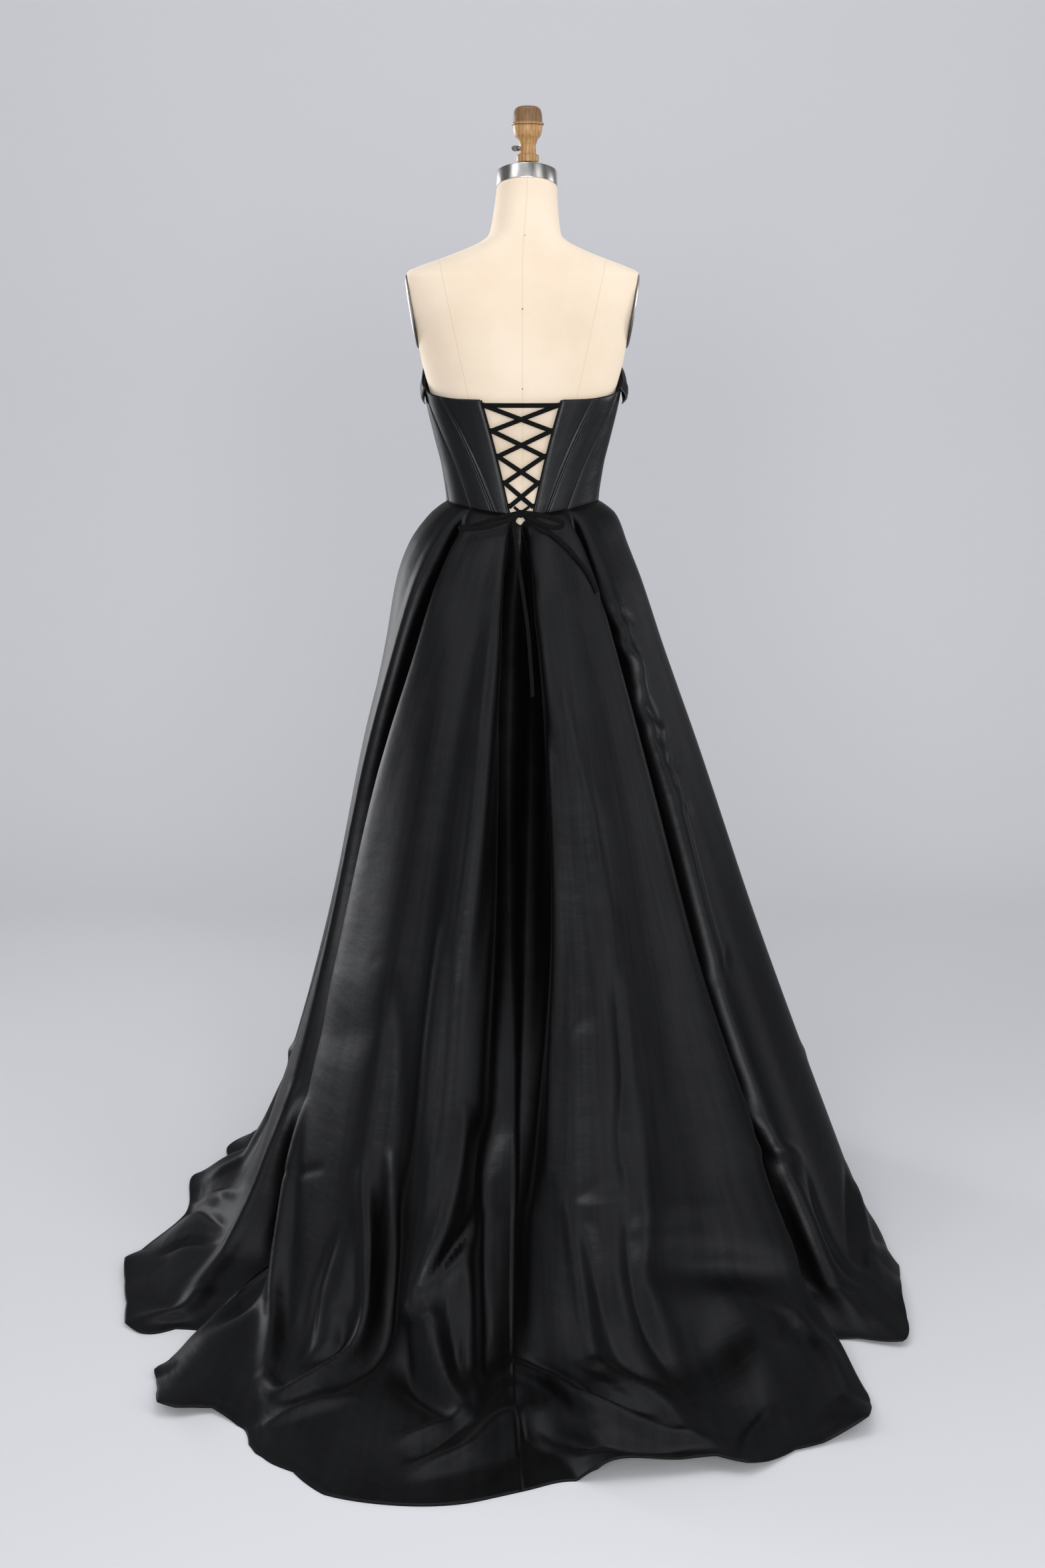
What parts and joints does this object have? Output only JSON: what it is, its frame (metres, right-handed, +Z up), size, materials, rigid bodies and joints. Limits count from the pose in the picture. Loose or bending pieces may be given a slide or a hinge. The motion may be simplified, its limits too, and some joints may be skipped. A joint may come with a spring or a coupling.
{
  "type": "strapless prom gown on a dress form",
  "caption": "Floor-length strapless satin gown with a lace-up back, box-pleated skirt and short train, worn by a limbless linen dress form on a stand.",
  "frame": {"origin": "on the floor, at the centre of the underside of the form's round base", "axes": "+Z up along the stand; the gown's front faces -Y and its train runs towards +Y; +X is the wearer's left"},
  "size_m": [1.157, 1.5524, 1.7275],
  "materials": {
    "satin": "soft satin, black",
    "lace_satin": "satin rouleau, black",
    "linen": "matt cream linen",
    "steel": "brushed",
    "wood": "satin varnish",
    "iron": "black enamel"
  },
  "bodies": {
    "gown_on_form": {"skirt_front": "satin", "skirt_side_left": "satin", "skirt_side_right": "satin", "skirt_back_left": "satin", "skirt_back_right": "satin", "bodice_back_left": "satin", "bodice_back_right": "satin", "bodice_side_back_left": "satin", "bodice_side_back_right": "satin", "bodice_side_left": "satin", "bodice_side_right": "satin", "bodice_cup_left": "satin", "bodice_cup_right": "satin", "bodice_centre_front": "satin", "folded_band_left": "satin", "folded_band_right": "satin", "loops_left": "lace_satin", "loops_right": "lace_satin", "lace_over": "lace_satin", "lace_under": "lace_satin", "bow": "lace_satin", "lace_tail_centre": "lace_satin", "lace_tail_right": "lace_satin", "arm_plate_left": "steel", "arm_plate_right": "steel", "neck_cap": "steel", "stand_pole": "steel", "finial_rod": "iron", "stand_base": "iron", "form_torso": "linen", "finial": "wood"},
    "thumb_screw": {"thumb_screw": "steel"}
  },
  "joints": [
    {"name": "thumb_screw_turn", "type": "hinge", "parent": "gown_on_form", "child": "thumb_screw", "pos_m": [-0.008, -0.01662, 1.663], "axis": [0.9397, 0.342, 0], "continuous": true}
  ]
}
